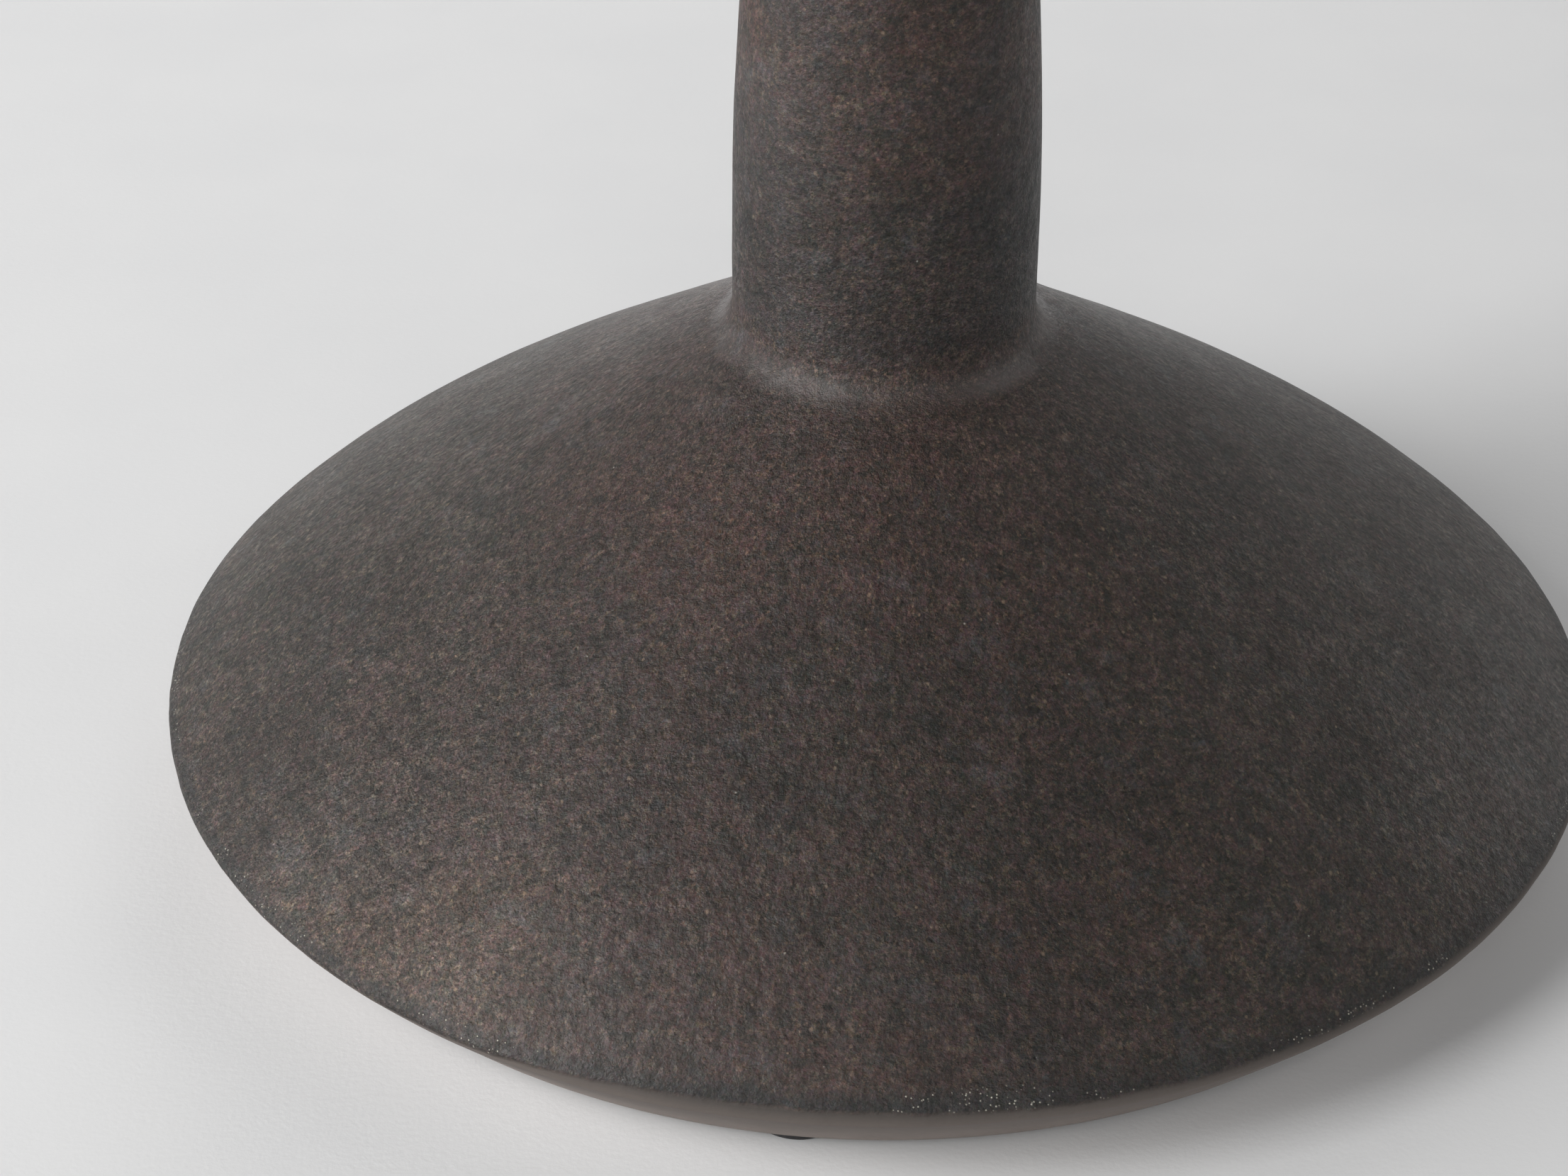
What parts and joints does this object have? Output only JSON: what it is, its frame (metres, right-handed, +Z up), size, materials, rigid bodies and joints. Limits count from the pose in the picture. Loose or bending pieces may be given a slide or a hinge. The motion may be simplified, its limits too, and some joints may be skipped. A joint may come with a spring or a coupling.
{
  "type": "stoneware vase",
  "caption": "Stoneware vase with a wide, shallow disc-shaped hollow body, a firm edge all round and a tall round neck with a small mouth, standing on soft pads.",
  "frame": {"origin": "on the standing surface, on the axis of the disc-shaped body", "axes": "+Z up along the body's axis; the neck stands 0.9 mm to +X of it; -Y is the side nearest the first pad"},
  "size_m": [0.2922, 0.2922, 0.2449],
  "materials": {
    "stoneware_glaze": "matte charcoal-brown reactive glaze with a fine dry grain, rust and blue-grey clouding and small tan flecks",
    "pad_rubber": "matte black soft pad"
  },
  "bodies": {
    "root": {"base_dish": "stoneware_glaze", "shoulder_dome": "stoneware_glaze", "neck": "stoneware_glaze", "foot_pad_1": "pad_rubber", "foot_pad_2": "pad_rubber", "foot_pad_3": "pad_rubber", "foot_pad_4": "pad_rubber"}
  },
  "joints": []
}
